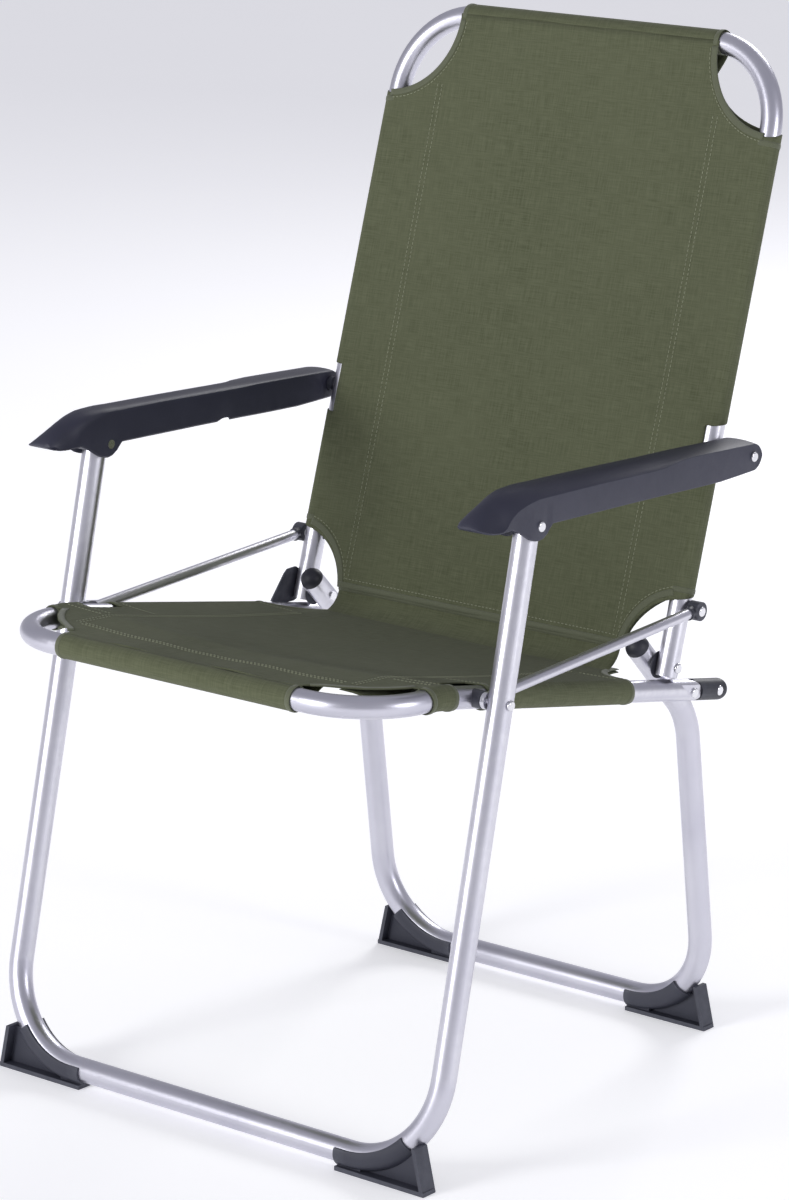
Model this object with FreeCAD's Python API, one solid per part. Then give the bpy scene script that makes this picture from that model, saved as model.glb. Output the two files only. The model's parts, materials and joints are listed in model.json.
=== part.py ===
"""Folding camp chair: bent aluminium frames, moulded armrests, feet and fabric slings.

Axes: +X is the sitter's left-hand side of the drawing (the near side), +Y points to
the rear, +Z up. The origin is on the floor in the middle of the footprint. All
dimensions are millimetres. Points in the side view are written (y, z).
"""
import FreeCAD, Part
import math
import os

# tubes
LEG_R, SEAT_R, BACK_R, STRUT_R, WALL = 11.0, 10.0, 10.0, 5.0, 1.5
# lateral half distances of the tube axes
X_FRONT, X_RAIL, X_REAR, X_STRUT = 248.0, 214.0, 191.5, 231.5
# pivots in the side view
PIVOT_ARM_FRONT = (-126.0, 562.0)
PIVOT_ARM_REAR = (183.17, 566.57)
PIVOT_FRONT = (-162.0, 413.0)
PIVOT_STRUT = (142.78, 428.0)
PIVOT_BACK = (126.63, 376.48)
PIVOT_REAR = (155.5, 347.0)
PIN_R, HOLE_R = 3.0, 3.05
# floor bars
BAR_Z, FRONT_BAR_Y, REAR_BAR_Y = 15.5, -255.7, 223.8
FRONT_BEND, REAR_BEND = 85.0, 80.0
FRONT_RISE = 0.2388
FRONT_TOP_Z = 574.0
REAR_TOP, REAR_KNEE, KNEE_BEND = (110.5, 393.5), (187.0, 314.0), 70.0
# back frame
BACK_SLOPE, BACK_AT_600, BACK_LOW_Z, BACK_TOP_Z, BACK_BEND = 0.31, 195.0, 368.0, 913.7, 77.0
# seat frame
RAIL_SLOPE, RAIL_AT_0, RAIL_END_Y = -0.2011, 379.7, 169.0
SEAT_BREAK_Y, SEAT_BAR, SEAT_BEND = -205.0, (-291.2, 425.0), 70.0
BLOCK_END_Y, BLOCK_RIVET = 211.0, (194.5, 340.6)
RAIL_FACE, END_R = 222.2, 10.5
# armrests
ARM_IN, ARM_OUT, ARM_WALL = 229.0, 263.0, 2.8
# fabric
CLOTH, SLEEVE_GAP = 0.7, 0.35
# feet
FOOT_WALL, SOLE, CUP_TURN = 2.0, 4.0, 46.0

V = FreeCAD.Vector
SIDES = (("left", -1.0), ("right", 1.0))


def back_y(z):
    return BACK_AT_600 + BACK_SLOPE * (z - 600.0)


def rail_z(y):
    return RAIL_AT_0 + RAIL_SLOPE * y


def front_y(z):
    return FRONT_BAR_Y + FRONT_RISE * (z - BAR_Z)


def route(points, radii):
    """A wire of straight runs joined by tangent arcs at the inner points."""
    edges, start = [], points[0]
    for i, radius in enumerate(radii, 1):
        corner = points[i]
        u = (points[i - 1] - corner).normalize()
        w = (points[i + 1] - corner).normalize()
        half = math.acos(max(-1.0, min(1.0, u.dot(w)))) / 2
        tangent = radius / math.tan(half)
        a, b = corner + u * tangent, corner + w * tangent
        bisector = (u + w).normalize()
        mid = corner + bisector * (radius / math.sin(half) - radius)
        edges += [Part.LineSegment(start, a).toShape(), Part.Arc(a, mid, b).toShape()]
        start = b
    edges.append(Part.LineSegment(start, points[-1]).toShape())
    return Part.Wire(edges)


def sweep(wire, radius):
    """A solid round bar along a wire."""
    first = wire.Edges[0]
    at = first.Vertexes[0].Point
    direction = first.tangentAt(first.FirstParameter)
    ring = Part.Wire([Part.Circle(at, direction, radius).toShape()])
    solid = wire.makePipeShell([ring], True, False)
    expected = math.pi * radius ** 2 * wire.Length
    print("sweep r%.2f volume ratio %.4f" % (radius, solid.Volume / expected))
    return solid


def tube(wire, radius, wall=WALL):
    return sweep(wire, radius).cut(sweep(wire, radius - wall))


def disc(yz, radius, x0, x1):
    """A cylinder along X, through a point of the side view."""
    low = min(x0, x1)
    return Part.makeCylinder(radius, abs(x1 - x0), V(low, yz[0], yz[1]), V(1, 0, 0))


def box(x0, x1, y0, y1, z0, z1):
    return Part.makeBox(abs(x1 - x0), abs(y1 - y0), abs(z1 - z0),
                        V(min(x0, x1), min(y0, y1), min(z0, z1)))


def prism(yz_points, x0, x1):
    """A side-view polygon, extruded across X."""
    low = min(x0, x1)
    ring = [V(low, y, z) for y, z in yz_points]
    return Part.Face(Part.makePolygon(ring + ring[:1])).extrude(V(abs(x1 - x0), 0, 0))


def join(shapes):
    result = shapes[0].multiFuse(shapes[1:]) if len(shapes) > 1 else shapes[0]
    return result.removeSplitter()


def drill(shape, pivots):
    """Pin holes right across the part at each pivot."""
    return shape.cut(Part.makeCompound([disc(p, HOLE_R, -300, 300) for p in pivots]))


def save(name, shape):
    shape.exportStep("parts/%s.step" % name)
    print(name, shape.isValid(), len(shape.Solids), round(shape.Volume))


def mirrored(points):
    """A left-right symmetric route, given its right half from the top down."""
    return points + [V(-p.x, p.y, p.z) for p in reversed(points)]


def front_leg_wire():
    return route(mirrored([V(X_FRONT, front_y(FRONT_TOP_Z), FRONT_TOP_Z),
                           V(X_FRONT, FRONT_BAR_Y, BAR_Z)]), [FRONT_BEND] * 2)


def rear_leg_wire():
    return route(mirrored([V(X_REAR, *REAR_TOP), V(X_REAR, *REAR_KNEE),
                           V(X_REAR, REAR_BAR_Y, BAR_Z)]),
                 [KNEE_BEND, REAR_BEND, REAR_BEND, KNEE_BEND])


def back_wire():
    return route(mirrored([V(X_RAIL, back_y(BACK_LOW_Z), BACK_LOW_Z),
                           V(X_RAIL, back_y(BACK_TOP_Z), BACK_TOP_Z)]), [BACK_BEND] * 2)


def seat_wire():
    return route(mirrored([V(X_RAIL, RAIL_END_Y, rail_z(RAIL_END_Y)),
                           V(X_RAIL, SEAT_BREAK_Y, rail_z(SEAT_BREAK_Y)),
                           V(X_RAIL, *SEAT_BAR)]),
                 [120.0, SEAT_BEND, SEAT_BEND, 120.0])


def rail_flat(grow):
    """Region outboard of a rail's pressed flat; its front boundary slants down rearwards."""
    y0, y1 = PIVOT_REAR[0] - 29.0 - grow, PIVOT_REAR[0] + 2.0 - grow
    return [(y0, 372.0), (y0 + 4.0, 364.0), (y1, 334.0), (y1 + 4.0, 326.0), (240.0, 326.0),
            (240.0, 372.0)]


def seat_frame():
    """Seat loop; each open rear end is pressed flat outside and rounded about its pivot."""
    outer = sweep(seat_wire(), SEAT_R)
    frame = tube(seat_wire(), SEAT_R)
    for _, side in SIDES:
        frame = frame.cut(prism(rail_flat(0.0), side * RAIL_FACE, side * 240.0))
        plate = outer.common(prism(rail_flat(1.2), side * (RAIL_FACE - 1.4), side * RAIL_FACE))
        frame = join([frame, plate])
        end = box(side * 200, side * 230, PIVOT_REAR[0], 200, 300, 400)
        frame = frame.cut(end.cut(disc(PIVOT_REAR, END_R, side * 190, side * 240)))
    return drill(frame, [PIVOT_FRONT, PIVOT_REAR])


def rail_frame_axis():
    return V(0, 1, RAIL_SLOPE).normalize()


def end_block(side):
    """Plug in the seat rail's open end, hollowed to the rail's round end, with a round tail."""
    x, along = side * X_RAIL, rail_frame_axis()
    start = V(x, RAIL_END_Y - 9.0, rail_z(RAIL_END_Y - 9.0))
    length = (BLOCK_END_Y - RAIL_END_Y + 9.0) / along.y - SEAT_R
    body = Part.makeCylinder(SEAT_R, length, start, along)
    tail = Part.makeSphere(SEAT_R, start + along * length)
    core = Part.makeCylinder(SEAT_R - WALL - 0.05, 60.0, start - along, along)
    ring = disc(PIVOT_REAR, END_R + 0.5, side * 190, side * 240).cut(core)
    block = join([body, tail]).cut(ring).cut(disc(BLOCK_RIVET, PIN_R, -300, 300))
    block = block.cut(disc(BLOCK_RIVET, 4.7, side * 222.05, side * 230))
    return block.cut(box(side * (RAIL_FACE - 1.5), side * 240.0, 140, PIVOT_REAR[0] + END_R, 300,
                         400)).cut(disc(PIVOT_REAR, 5.0, -300, 300))


def rivet(yz, side, x_head, x_tail, head_r=4.6, tail_r=4.2, body_r=PIN_R):
    """A domed rivet: head outboard of x_head, tail inboard of x_tail."""
    head = disc(yz, head_r, side * x_head, side * (x_head + 2.0))
    rim = [e for e in head.Edges if abs(abs(e.BoundBox.XMin) - (x_head + 2.0)) < 0.01
           and abs(abs(e.BoundBox.XMax) - (x_head + 2.0)) < 0.01]
    head = head.makeFillet(1.4, rim)
    shaft = disc(yz, body_r, side * x_tail, side * x_head)
    parts = [head, shaft]
    if tail_r:
        parts.append(disc(yz, tail_r, side * (x_tail - 1.4), side * x_tail))
    return join(parts)


def pair(make):
    return Part.makeCompound([make(side) for _, side in SIDES])


def strut(side):
    """Round strut, pressed flat round the front pivot."""
    f, s = V(0, *PIVOT_FRONT), V(0, *PIVOT_STRUT)
    along = (s - f).normalize()
    x = V(side * X_STRUT, 0, 0)
    start = 15.0
    bar = Part.makeCylinder(STRUT_R, (s - f).Length - 8.0 - start, x + f + along * start, along)
    bore = Part.makeCylinder(STRUT_R - 1.0, 400, x + f + along * (start + 9.0), along)
    x0, x1 = side * 232.2, side * 236.4
    up = V(0, -along.z, along.y)
    near, far = f, f + along * (start + 8.0)
    outline = (near + up * 7.0, near + along * 9 + up * 6.8, far + up * 3.5,
               far - up * 3.5, near + along * 9 - up * 6.8, near - up * 7.0)
    flat = [disc(PIVOT_FRONT, 7.6, x0, x1), prism([(p.y, p.z) for p in outline], x0, x1)]
    return join([bar.cut(bore)] + flat).cut(disc(PIVOT_FRONT, HOLE_R, side * 220, side * 245))


def strut_eye(side):
    """Moulded eye on the rear end of a strut."""
    f, s = V(0, *PIVOT_FRONT), V(0, *PIVOT_STRUT)
    along = (s - f).normalize()
    x = V(side * X_STRUT, 0, 0)
    ring = disc(PIVOT_STRUT, 8.7, side * 226.6, side * 237.6)
    collar = Part.makeCylinder(6.2, 8.0, x + s - along * 12.0, along)
    collar = collar.common(box(side * 226.6, side * 238.0, -400, 400, 0, 900))
    bar = Part.makeCylinder(STRUT_R, 60.0, x + s - along * 68.0, along)
    return join([ring, collar]).cut(bar).cut(disc(PIVOT_STRUT, PIN_R, -300, 300))


def front_saddle(side):
    """Spacer between the seat rail and the strut, hugging the rail."""
    body = disc(PIVOT_FRONT, 8.0, side * 219.0, side * 231.8)
    rail = Part.makeCylinder(SEAT_R + 0.02, 60, V(side * X_RAIL, PIVOT_FRONT[0] - 30,
                             rail_z(PIVOT_FRONT[0] - 30)), rail_frame_axis())
    rail_inside = box(side * 200, side * 219.5, -400, 400, 300, 500)
    return body.cut(rail).cut(rail_inside).cut(disc(PIVOT_FRONT, HOLE_R, -300, 300))


def back_spacer(side):
    """Washer between a rear leg and the back tube, with a small tab."""
    ring = disc(PIVOT_BACK, 12.5, side * 202.8, side * 203.7)
    return ring.cut(disc(PIVOT_BACK, HOLE_R, -300, 300))


def leg_cap(side):
    """Rounded plastic cap closing a rear leg's upper end."""
    top, knee = V(0, *REAR_TOP), V(0, *REAR_KNEE)
    along = (top - knee).normalize()
    x = V(side * X_REAR, 0, 0)
    ball = Part.makeSphere(LEG_R, x + top + along * 0.4)
    keep = Part.makeCylinder(LEG_R + 2, 14, x + top + along * 0.05, along)
    shank = Part.makeCylinder(LEG_R - WALL - 0.05, 8.1, x + top - along * 8.0, along)
    return join([ball.common(keep), shank])


def armrest_profile():
    y_b, z_b = PIVOT_ARM_REAR
    rear = [(y_b + 13.5 * math.cos(math.radians(a)), z_b + 13.5 * math.sin(math.radians(a)))
            for a in range(-80, 81, 20)]
    return [(-202.5, 572.5), (-197, 568.4), (-188, 566.2), (-176, 565.4), (-163, 565.4), (-152, 560),
            (-140, 552.6), (-128, 549.5), (-117, 553.5), (-109, 561), (0, 557.5),
            (97, 553.5), (135, 552)] + rear + [(40, 588), (-126, 596), (-150, 596),
                                               (-166, 593.3), (-180.5, 587.6), (-194, 579.3)]


def armrest(side):
    """Moulded channel, open below, closed at both ends."""
    shell = prism(armrest_profile(), side * ARM_IN, side * ARM_OUT)
    inner = [(-153, 500), (-153, 590.5), (-126, 592), (40, 584), (168, 575.6), (168, 500)]
    hollow = prism(inner, side * (ARM_IN + ARM_WALL), side * (ARM_OUT - ARM_WALL))
    notch = disc((30, 557), 9.0, side * (ARM_IN - 1), side * (ARM_IN + ARM_WALL + 0.1))
    shell = drill(shell.cut(hollow).cut(notch), [PIVOT_ARM_REAR])
    stub = disc(PIVOT_ARM_FRONT, PIN_R, side * (ARM_IN - 1), side * (ARM_OUT + 1))
    shell = shell.cut(stub)
    crown = [e for e in shell.Edges if e.BoundBox.XLength < 0.01 and e.BoundBox.ZMin > 584
             and min(abs(abs(e.BoundBox.XMin) - ARM_IN), abs(abs(e.BoundBox.XMin) - ARM_OUT)) < 0.01]
    return shell.makeFillet(2.4, crown) if crown else shell


def armrest_studs(side):
    """Front pivot studs: one in each cheek of the armrest, clear of the leg tube."""
    outer = rivet(PIVOT_ARM_FRONT, side, ARM_OUT, ARM_OUT - ARM_WALL + 0.1, tail_r=0)
    inner = join([disc(PIVOT_ARM_FRONT, PIN_R, side * (ARM_IN), side * (ARM_IN + ARM_WALL - 0.1)),
                  disc(PIVOT_ARM_FRONT, 4.2, side * (ARM_IN - 1.4), side * ARM_IN)])
    return Part.makeCompound([outer, inner])


def side_prism(points, y0, y1):
    """A prism along Y from an outline in X and Z."""
    ring = [V(px, y0, pz) for px, pz in points]
    return Part.Face(Part.makePolygon(ring + ring[:1])).extrude(V(0, y1 - y0, 0))


def foot(wire, side, x_in, x_out, bar_y, bend, half_width, x_axis):
    """Corner pad: cups the tube's outer side, with a sole, an end wall and a web."""
    bar = sweep(wire, LEG_R)
    cup = sweep(wire, LEG_R + FOOT_WALL)
    zone = box(side * x_in, side * x_out, bar_y - 30, bar_y + 30, 0, 60)
    centre_x, centre_z = side * (x_axis - bend), BAR_Z + bend
    inside = Part.makeCylinder(bend - 5.5, 80, V(centre_x, bar_y - 40, centre_z), V(0, 1, 0))
    above = box(0, centre_x, bar_y - 40, bar_y + 40, BAR_Z + 5.5, 60)
    turn = math.radians(CUP_TURN)
    out = V(side * math.sin(turn), 0, -math.cos(turn)) * 160.0
    on = V(side * math.cos(turn), 0, math.sin(turn)) * 160.0
    centre = V(centre_x, bar_y - 40, centre_z)
    ring = [centre, centre + out, centre + out + on, centre + on, centre]
    beyond = Part.Face(Part.makePolygon(ring)).extrude(V(0, 80, 0))
    cup = cup.common(zone).cut(inside).cut(above).cut(beyond)
    taper = x_out - 14.0
    plan = [(x_in, -half_width), (x_out, -half_width), (x_out, 4.0), (taper, half_width),
            (x_in, half_width)]
    ring = [V(side * px, bar_y + py, 0) for px, py in plan]
    footprint = Part.Face(Part.makePolygon(ring + ring[:1]))
    if footprint.normalAt(0, 0).z < 0:
        footprint.reverse()
    sole = footprint.extrude(V(0, 0, SOLE))
    wall = side_prism([(side * px, pz) for px, pz in
                       [(x_out, 0), (x_out - 4.0, 0), (x_out - 13.5, 41), (x_out - 9.5, 41)]],
                      bar_y - half_width, bar_y + 6.0)
    web = side_prism([(side * px, pz) for px, pz in
                      [(x_in + 12, 0), (x_out - 2.0, 0), (x_out - 11.0, 39), (x_in + 12, 39)]],
                     bar_y - 1.5, bar_y + 1.5)
    under = box(side * x_in, side * (x_in + 26), bar_y - 7.0, bar_y + 7.0, 0, 8)
    web = web.cut(inside).cut(above)
    return join([cup, sole, wall, web, under]).cut(bar)


def fold_catch(side=-1.0):
    """Transport clip on the left back tube: a flat hook behind the back pivot's rivet head."""
    outline = [(89, 371.5), (108.5, 394.5), (113, 398), (125, 398.3), (131, 394), (134, 384),
               (132, 369), (121, 365.5), (96, 366)]
    plate = prism(outline, side * 224.3, side * 226.2)
    return plate.cut(disc(PIVOT_BACK, 4.8, -300, 300))


def sleeve(wire, radius, zones):
    """A thin cloth tube round a frame wire, kept only inside the given boxes."""
    ring = sweep(wire, radius + SLEEVE_GAP + CLOTH).cut(sweep(wire, radius + SLEEVE_GAP))
    return [ring.common(zone) for zone in zones]


def band(points, offset, thickness, x0, x1):
    """A thin sheet across X that follows a side-view polyline at a normal offset."""
    def shifted(d):
        out = []
        for i, (y, z) in enumerate(points):
            a = points[max(i - 1, 0)]
            b = points[min(i + 1, len(points) - 1)]
            n = math.hypot(b[0] - a[0], b[1] - a[1])
            out.append((y - (b[1] - a[1]) / n * d, z + (b[0] - a[0]) / n * d))
        return out
    return prism(shifted(offset) + shifted(offset + thickness)[::-1], x0, x1)


def seat_sling():
    """Seat cloth: sleeves round the rails and front bar, and the panel on top."""
    wire = seat_wire()
    rails = [box(s * 195, s * 232, -222, 61, 300, 500) for _, s in SIDES]
    rings = sleeve(wire, SEAT_R, rails + [box(-134, 134, -330, -270, 380, 470)])
    line = [SEAT_BAR, (SEAT_BREAK_Y, rail_z(SEAT_BREAK_Y)), (116.0, rail_z(116.0))]
    panel = band(line, SEAT_R + SLEEVE_GAP + 0.1, CLOTH, -X_RAIL, X_RAIL)
    cuts = []
    for _, s in SIDES:
        cuts.append(box(s * 197, s * 240, -188, -146, 300, 500))
        plans = [[(134, -330), (134, -283), (160, -266), (186, -244), (203, -222),
                  (240, -222), (240, -330)],
                 [(240, 61), (205, 61), (178, 72), (167, 90), (165, 130), (240, 130)]]
        for plan in plans:
            ring = [V(s * px, py, 300) for px, py in plan]
            cuts.append(Part.Face(Part.makePolygon(ring + ring[:1])).extrude(V(0, 0, 200)))
    return join(rings + [panel]).cut(Part.makeCompound(cuts))


def back_sling():
    """Back cloth: sleeves round the side tubes and top bar, and the panel in front."""
    wire = back_wire()
    y_b, z_b = PIVOT_ARM_REAR
    sides = [box(s * 195, s * 232, 100, 330, 441, 833) for _, s in SIDES]
    rings = sleeve(wire, BACK_R, sides + [box(-145, 145, 250, 330, 880, 940)])
    line = [(back_y(386.0), 386.0), (back_y(BACK_TOP_Z), BACK_TOP_Z)]
    panel = band(line, BACK_R + SLEEVE_GAP + 0.1, CLOTH, -X_RAIL, X_RAIL)
    cuts = []
    for _, s in SIDES:
        cuts.append(Part.makeCylinder(72, 400, V(s * 220, 0, 911), V(0, 1, 0)))
        cuts.append(Part.makeCylinder(57, 400, V(s * 224, 0, 381), V(0, 1, 0)))
        cuts.append(box(s * 212.5, s * 240, y_b - 40, y_b + 40, z_b - 22, z_b + 22))
    return join(rings + [panel]).cut(Part.makeCompound(cuts))


def main():
    os.makedirs("parts", exist_ok=True)
    front, rear, back = front_leg_wire(), rear_leg_wire(), back_wire()
    save("front_leg_frame", drill(tube(front, LEG_R), [PIVOT_FRONT, PIVOT_ARM_FRONT]))
    save("rear_leg_frame", drill(tube(rear, LEG_R), [PIVOT_REAR, PIVOT_BACK]))
    save("back_frame", drill(tube(back, BACK_R), [PIVOT_BACK, PIVOT_STRUT, PIVOT_ARM_REAR]))
    save("seat_frame", seat_frame())
    save("back_sling", back_sling())
    save("seat_sling", seat_sling())
    bush = disc(PIVOT_ARM_REAR, 7.0, 224.1, 228.6).cut(disc(PIVOT_ARM_REAR, PIN_R, 0, 300))
    handed = {
        "strut": strut(1.0), "strut_eye": strut_eye(1.0), "armrest": armrest(1.0),
        "armrest_studs": armrest_studs(1.0), "rail_end_block": end_block(1.0),
        "front_saddle": front_saddle(1.0), "back_spacer": back_spacer(1.0),
        "rear_leg_cap": leg_cap(1.0), "armrest_spacer": bush,
        "strut_rivet": rivet(PIVOT_STRUT, 1.0, 237.6, 226.7, tail_r=0),
        "front_foot": foot(front, 1.0, 151, 250, FRONT_BAR_Y, FRONT_BEND, 11.0, X_FRONT),
        "rear_foot": foot(rear, 1.0, 106, 198, REAR_BAR_Y, REAR_BEND, 10.0, X_REAR),
    }
    for name, shape in handed.items():
        save(name + "_right", shape)
        save(name + "_left", shape.mirror(V(0, 0, 0), V(1, 0, 0)))
    save("front_pivot_rivets", pair(lambda s: rivet(PIVOT_FRONT, s, 259.4, 203.0)))
    save("back_pivot_rivets", pair(lambda s: rivet(PIVOT_BACK, s, 224.1, 180.1)))
    save("seat_hinge_rivets", pair(lambda s: rivet(PIVOT_REAR, s, RAIL_FACE, 180.1)))
    save("block_rivets", pair(lambda s: rivet(BLOCK_RIVET, s, 222.1, 204.0)))
    save("armrest_rear_rivets", pair(lambda s: rivet(PIVOT_ARM_REAR, s, 263.3, 206.5, tail_r=0)))
    save("fold_catch", fold_catch())


main()
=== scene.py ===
"""Folding camp chair: fabric, stitching, finishes and studio round the fixed frame.

Metres, +X towards the right armrest, -Y the front of the chair, +Z up.
"""

import json
import logging
import math
from dataclasses import dataclass
from enum import Enum
from typing import Callable, Sequence

import bmesh
import bpy
from mathutils import Matrix, Vector


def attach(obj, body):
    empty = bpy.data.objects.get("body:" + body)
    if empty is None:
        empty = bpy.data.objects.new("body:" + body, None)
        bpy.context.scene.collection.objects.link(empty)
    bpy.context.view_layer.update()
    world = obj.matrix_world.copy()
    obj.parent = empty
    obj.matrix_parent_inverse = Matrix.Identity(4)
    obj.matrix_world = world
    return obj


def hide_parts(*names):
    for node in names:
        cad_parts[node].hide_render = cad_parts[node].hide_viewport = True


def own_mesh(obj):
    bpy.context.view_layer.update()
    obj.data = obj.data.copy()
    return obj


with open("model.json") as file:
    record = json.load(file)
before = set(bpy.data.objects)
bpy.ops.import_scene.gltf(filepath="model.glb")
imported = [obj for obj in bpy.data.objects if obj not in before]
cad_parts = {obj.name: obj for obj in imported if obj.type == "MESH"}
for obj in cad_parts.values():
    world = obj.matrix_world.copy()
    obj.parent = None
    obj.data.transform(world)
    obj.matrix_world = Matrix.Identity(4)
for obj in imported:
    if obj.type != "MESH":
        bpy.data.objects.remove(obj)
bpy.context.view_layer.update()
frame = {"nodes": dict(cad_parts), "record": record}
LOG = logging.getLogger("camp_chair")

Socket = bpy.types.NodeSocket
NodeTree = bpy.types.ShaderNodeTree
Material = bpy.types.Material
Object = bpy.types.Object
BMesh = bmesh.types.BMesh
Path = list[Vector]
Outline = Sequence[tuple[float, float]]
Flat = list[list[tuple[float, float]]]
SIDES: tuple[int, int] = (-1, 1)
LEAN = 0.31  # how far the back tubes run back for each metre of height
RAIL_SLOPE = -0.2011  # the seat rails' rise for each metre of Y
RAIL_HEIGHT = 0.3797  # where the rails' line crosses Y = 0


class Body(Enum):
    """The moving bodies that pieces ride on."""

    SEAT = "seat"
    BACK = "back"


class Slot(Enum):
    """The record's material slots."""

    FRAME = "frame_aluminium"
    FABRIC = "sling_fabric"
    ARMREST = "armrest_plastic"
    FOOT = "foot_plastic"
    BLACK = "black_plastic"
    RIVET = "rivet_metal"


def spaced(low: float, high: float, count: int) -> list[float]:
    """Evenly spaced numbers from low to high, count steps apart."""
    return [low + (high - low) * k / count for k in range(count + 1)]


def ease(t: float) -> float:
    """A soft step from 0 to 1."""
    return t * t * (3 - 2 * t)


def hand(side: int) -> str:
    """The name of a side."""
    return "left" if side < 0 else "right"


# ---------------------------------------------------------------- shader groups

class NodeGroup:
    """A shader node group under construction."""

    def __init__(self, name: str, inputs: dict[str, float], outputs: Sequence[str]) -> None:
        """Make the group and its sockets.

        Args:
            name: the group's name.
            inputs: float inputs and their default values.
            outputs: names of float outputs, or names that end in Color for colours.
        """
        self.tree = bpy.data.node_groups.new(name, "ShaderNodeTree")
        for key, value in inputs.items():
            socket = self.tree.interface.new_socket(key, in_out="INPUT",
                                                    socket_type="NodeSocketFloat")
            socket.default_value = value
        for key in outputs:
            kind = "NodeSocketColor" if key.endswith("Color") else "NodeSocketFloat"
            self.tree.interface.new_socket(key, in_out="OUTPUT", socket_type=kind)
        self.inlet = self.tree.nodes.new("NodeGroupInput")
        self.outlet = self.tree.nodes.new("NodeGroupOutput")

    def add(self, kind: str, **settings: object) -> bpy.types.Node:
        """Add a node and set its attributes.

        Args:
            kind: the node's type name.
            settings: attributes to set on it.

        Returns:
            The new node.
        """
        node = self.tree.nodes.new(kind)
        for key, value in settings.items():
            setattr(node, key, value)
        return node

    def link(self, a: Socket, b: Socket) -> None:
        """Join two sockets."""
        self.tree.links.new(a, b)

    def math(self, kind: str, a: object, b: object = 0.0) -> Socket:
        """Add a Math node.

        Args:
            kind: the operation.
            a: a socket or a number.
            b: a socket or a number.

        Returns:
            The node's output socket.
        """
        node = self.add("ShaderNodeMath", operation=kind)
        for index, value in enumerate((a, b)):
            if isinstance(value, Socket):
                self.link(value, node.inputs[index])
            else:
                node.inputs[index].default_value = float(value)
        return node.outputs[0]

    def noise(self, vector: Socket, scale: object, detail: float = 3.0,
              stretch: tuple[float, float, float] = (1.0, 1.0, 1.0)) -> Socket:
        """Add a noise texture on stretched coordinates.

        Args:
            vector: the coordinates.
            scale: the noise scale, a number or a socket.
            detail: octaves of detail.
            stretch: how much each axis is squeezed.

        Returns:
            The noise value, 0 to 1.
        """
        mapping = self.add("ShaderNodeMapping")
        mapping.inputs["Scale"].default_value = stretch
        self.link(vector, mapping.inputs["Vector"])
        node = self.add("ShaderNodeTexNoise")
        node.inputs["Detail"].default_value = detail
        if isinstance(scale, Socket):
            self.link(scale, node.inputs["Scale"])
        else:
            node.inputs["Scale"].default_value = scale
        self.link(mapping.outputs["Vector"], node.inputs["Vector"])
        return node.outputs["Fac"]


def weave_group() -> NodeTree:
    """A plain weave with slubbed yarns, on the cloth's own flat coordinates in metres.

    Returns:
        The group. Outputs: Height of the yarns, a mask of the yarn gaps for painted shade, Slub
            streaks, Mottle.
    """
    g = NodeGroup("PlainWeave", {"Threads": 1500.0}, ["Height", "GapShade", "Slub", "Mottle"])
    uv = g.add("ShaderNodeUVMap", uv_map="cloth")
    xyz = g.add("ShaderNodeSeparateXYZ")
    g.link(uv.outputs["UV"], xyz.inputs["Vector"])
    count = g.inlet.outputs["Threads"]
    across = g.math("MULTIPLY", xyz.outputs["X"], count)
    along = g.math("MULTIPLY", xyz.outputs["Y"], count)
    warp = g.math("SINE", g.math("MULTIPLY", across, math.pi))
    weft = g.math("SINE", g.math("MULTIPLY", along, math.pi))
    over = g.math("MULTIPLY", warp, weft)
    ridge = g.math("ADD", g.math("ABSOLUTE", warp), g.math("ABSOLUTE", weft))
    height = g.math("ADD", g.math("MULTIPLY", over, 0.35), g.math("MULTIPLY", ridge, 0.5))
    g.link(height, g.outlet.inputs["Height"])
    # painted shade mask: highest in the gaps between yarns
    g.link(g.math("SUBTRACT", 1.0, g.math("MULTIPLY", ridge, 0.5)), g.outlet.inputs["GapShade"])
    warp_slub = g.noise(uv.outputs["UV"], 1.0, 2.0, (900.0, 45.0, 1.0))
    weft_slub = g.noise(uv.outputs["UV"], 1.0, 2.0, (45.0, 900.0, 1.0))
    g.link(g.math("MULTIPLY", g.math("ADD", warp_slub, weft_slub), 0.5),
           g.outlet.inputs["Slub"])
    g.link(g.noise(uv.outputs["UV"], 9.0, 4.0), g.outlet.inputs["Mottle"])
    return g.tree


def grain_group() -> NodeTree:
    """Fine surface grain, broad unevenness and sparse scratches, in object space.

    Returns:
        The group. Outputs: Grain, Cloud, Scratch.
    """
    g = NodeGroup("SurfaceGrain", {"Fineness": 900.0}, ["Grain", "Cloud", "Scratch"])
    at = g.add("ShaderNodeTexCoord").outputs["Object"]
    g.link(g.noise(at, g.inlet.outputs["Fineness"], 3.0), g.outlet.inputs["Grain"])
    g.link(g.noise(at, 14.0, 3.0), g.outlet.inputs["Cloud"])
    lines = g.noise(at, 55.0, 2.0, (9.0, 9.0, 0.35))
    g.link(g.math("GREATER_THAN", lines, 0.70), g.outlet.inputs["Scratch"])
    return g.tree


def wear_group() -> NodeTree:
    """Rubbed edges: where the surface is convex, broken up with noise.

    Returns:
        The group. Output: Edge.
    """
    g = NodeGroup("EdgeWear", {"Amount": 1.0}, ["Edge"])
    pointy = g.add("ShaderNodeNewGeometry").outputs["Pointiness"]
    at = g.add("ShaderNodeTexCoord").outputs["Object"]
    ramp = g.add("ShaderNodeMapRange")
    ramp.inputs["From Min"].default_value = 0.52
    ramp.inputs["From Max"].default_value = 0.62
    g.link(pointy, ramp.inputs["Value"])
    broken = g.math("MULTIPLY", ramp.outputs["Result"], g.noise(at, 120.0))
    g.link(g.math("MULTIPLY", broken, g.inlet.outputs["Amount"]), g.outlet.inputs["Edge"])
    return g.tree


@dataclass(frozen=True)
class Groups:
    """The shared shader groups."""

    weave: NodeTree
    grain: NodeTree
    wear: NodeTree


# -------------------------------------------------------------------- finishes

Colour = tuple[float, float, float]


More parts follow.
